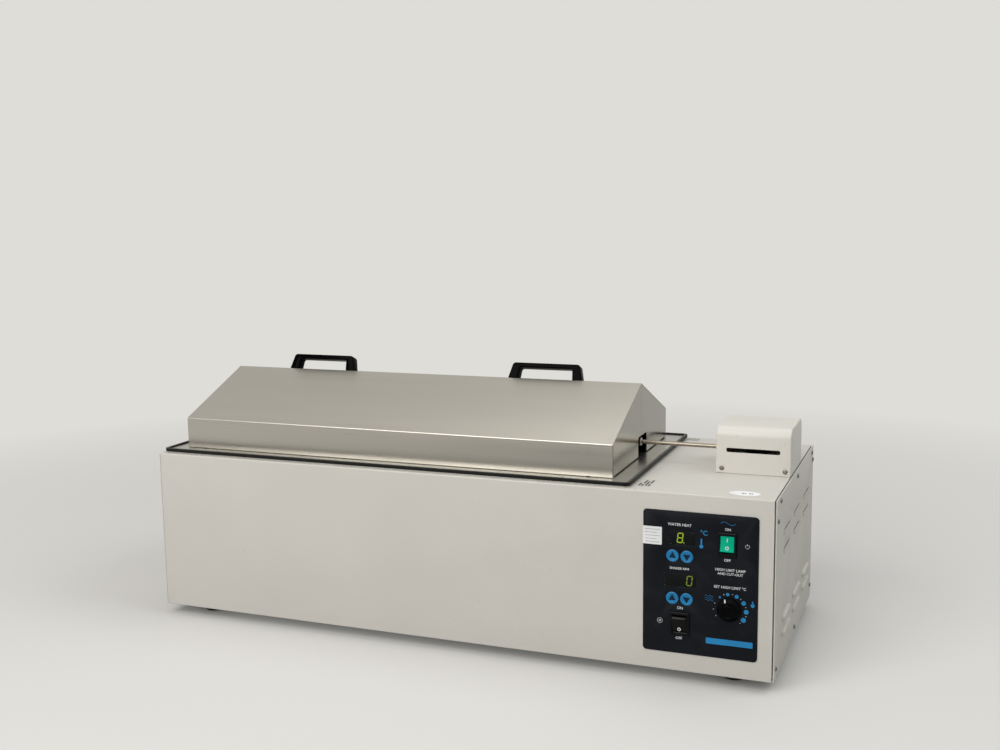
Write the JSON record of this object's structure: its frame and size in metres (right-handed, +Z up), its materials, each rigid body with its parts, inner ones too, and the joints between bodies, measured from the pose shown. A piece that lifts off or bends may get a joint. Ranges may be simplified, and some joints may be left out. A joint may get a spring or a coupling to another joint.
{
  "type": "laboratory water bath",
  "caption": "Shaking water bath with a stainless tank, gabled lift-off lid, rod-driven tray, front control panel and rear drain.",
  "frame": {"origin": "on the table under the middle of the whole object, feet at z = 0", "axes": "+X along the length towards the drive end, +Y from the control panel to the rear, +Z up"},
  "size_m": [0.939, 0.4192, 0.3899],
  "materials": {
    "paint": "warm light grey powder coat, fine texture",
    "side_paint": "warm light grey powder coat, fine texture",
    "zinc_sheet": "zinc plated sheet",
    "foot_rubber": "black moulded rubber",
    "trim_rubber": "dull black rubber",
    "tank_stainless": "drawn stainless sheet",
    "lid_stainless": "fine brushed stainless sheet with a warm tone",
    "heater_foil": "foil faced heater mat",
    "bright_steel": "turned stainless",
    "brass": "machined brass",
    "handle_plastic": "black moulded plastic",
    "white_plastic": "white bearing plastic",
    "cast_aluminium": "cast and machined",
    "overlay_film": "satin black printed film",
    "display_window": "smoked clear plastic",
    "circuit_board": "green circuit board",
    "blue_key": "printed blue key",
    "black_plastic": "black moulded plastic",
    "green_lit_rocker": "translucent green, lit",
    "transformer_core": "varnished laminations and copper winding"
  },
  "bodies": {
    "bath": {"casing_shell": "paint", "right_side_panel": "side_paint", "left_side_panel": "side_paint", "base_pan": "zinc_sheet", "foot_front_left": "foot_rubber", "foot_front_right": "foot_rubber", "foot_rear_left": "foot_rubber", "foot_rear_right": "foot_rubber", "tank": "tank_stainless", "tank_edge_trim": "trim_rubber", "tank_heater": "heater_foil", "temperature_probe": "bright_steel", "overtemp_bulb": "brass", "drive_housing": "paint", "motor_bracket": "zinc_sheet", "gear_motor": "cast_aluminium", "panel_overlay": "overlay_film", "temperature_window": "display_window", "speed_window": "display_window", "display_board": "circuit_board", "power_switch_body": "black_plastic", "motor_switch_body": "black_plastic", "thermostat_body": "zinc_sheet", "control_board": "circuit_board", "transformer": "transformer_core", "mains_inlet": "black_plastic", "drain_pipe": "brass", "drain_valve_body": "brass"},
    "lid": {"lid_shell": "lid_stainless", "lid_end_left": "lid_stainless", "lid_end_right": "lid_stainless", "lid_handle_left": "handle_plastic", "lid_handle_right": "handle_plastic", "lid_bumper_front_left": "trim_rubber", "lid_bumper_front_right": "trim_rubber", "lid_bumper_rear_left": "trim_rubber", "lid_bumper_rear_right": "trim_rubber"},
    "shuttle": {"shaker_tray": "tank_stainless", "tray_axle_left": "bright_steel", "tray_axle_right": "bright_steel", "tray_arm": "tank_stainless", "rod_coupling": "bright_steel", "drive_rod": "bright_steel", "drive_yoke": "cast_aluminium"},
    "crank": {"crank": "bright_steel"},
    "wheel_front_left": {"tray_wheel_front_left": "white_plastic"},
    "wheel_front_right": {"tray_wheel_front_right": "white_plastic"},
    "wheel_rear_left": {"tray_wheel_rear_left": "white_plastic"},
    "wheel_rear_right": {"tray_wheel_rear_right": "white_plastic"},
    "temperature_up_key": {"temperature_up_key": "blue_key"},
    "temperature_down_key": {"temperature_down_key": "blue_key"},
    "speed_up_key": {"speed_up_key": "blue_key"},
    "speed_down_key": {"speed_down_key": "blue_key"},
    "power_rocker": {"power_rocker": "green_lit_rocker"},
    "motor_rocker": {"motor_rocker": "black_plastic"},
    "overtemp_knob": {"overtemp_knob": "black_plastic"},
    "drain_lever": {"drain_lever": "brass"}
  },
  "joints": [
    {"name": "lid_lift", "type": "slide", "parent": "bath", "child": "lid", "axis": [0, 0, 1], "range_m": [0, 0.25]},
    {"name": "tray_stroke", "type": "slide", "parent": "bath", "child": "shuttle", "axis": [1, 0, 0], "range_m": [-0.0127, 0.0127]},
    {"name": "crank_turn", "type": "hinge", "parent": "bath", "child": "crank", "pos_m": [0.4125, -0.01065, 0.26], "axis": [0, 0, 1], "range_deg": [-90, 90]},
    {"name": "wheel_front_left_roll", "type": "hinge", "parent": "shuttle", "child": "wheel_front_left", "pos_m": [-0.327, -0.11065, 0.1093], "axis": [0, 1, 0], "range_deg": [-61, 61]},
    {"name": "wheel_front_right_roll", "type": "hinge", "parent": "shuttle", "child": "wheel_front_right", "pos_m": [0.113, -0.11065, 0.1093], "axis": [0, 1, 0], "range_deg": [-61, 61]},
    {"name": "wheel_rear_left_roll", "type": "hinge", "parent": "shuttle", "child": "wheel_rear_left", "pos_m": [-0.327, 0.08935, 0.1093], "axis": [0, 1, 0], "range_deg": [-61, 61]},
    {"name": "wheel_rear_right_roll", "type": "hinge", "parent": "shuttle", "child": "wheel_rear_right", "pos_m": [0.113, 0.08935, 0.1093], "axis": [0, 1, 0], "range_deg": [-61, 61]},
    {"name": "temperature_up_press", "type": "slide", "parent": "bath", "child": "temperature_up_key", "axis": [0, 1, 0], "range_m": [0, 0.0005], "stiffness_N_per_m": 3000},
    {"name": "temperature_down_press", "type": "slide", "parent": "bath", "child": "temperature_down_key", "axis": [0, 1, 0], "range_m": [0, 0.0005], "stiffness_N_per_m": 3000},
    {"name": "speed_up_press", "type": "slide", "parent": "bath", "child": "speed_up_key", "axis": [0, 1, 0], "range_m": [0, 0.0005], "stiffness_N_per_m": 3000},
    {"name": "speed_down_press", "type": "slide", "parent": "bath", "child": "speed_down_key", "axis": [0, 1, 0], "range_m": [0, 0.0005], "stiffness_N_per_m": 3000},
    {"name": "power_rock", "type": "hinge", "parent": "bath", "child": "power_rocker", "pos_m": [0.4045, -0.19305, 0.1937], "axis": [1, 0, 0], "range_deg": [0, 24]},
    {"name": "motor_rock", "type": "hinge", "parent": "bath", "child": "motor_rocker", "pos_m": [0.3433, -0.19305, 0.0807], "axis": [1, 0, 0], "range_deg": [-24, 0]},
    {"name": "overtemp_turn", "type": "hinge", "parent": "bath", "child": "overtemp_knob", "pos_m": [0.4077, -0.19505, 0.1078], "axis": [0, 1, 0], "range_deg": [-102, 168]},
    {"name": "drain_turn", "type": "hinge", "parent": "bath", "child": "drain_lever", "pos_m": [-0.374, 0.19565, 0.111], "axis": [0, 0, 1], "range_deg": [-90, 0]}
  ],
  "couplings": [
    {"joint": "crank_turn", "follows": "tray_stroke", "rad_per_m": 123.68},
    {"joint": "wheel_front_left_roll", "follows": "tray_stroke", "rad_per_m": 83.333},
    {"joint": "wheel_front_right_roll", "follows": "tray_stroke", "rad_per_m": 83.333},
    {"joint": "wheel_rear_left_roll", "follows": "tray_stroke", "rad_per_m": 83.333},
    {"joint": "wheel_rear_right_roll", "follows": "tray_stroke", "rad_per_m": 83.333}
  ]
}
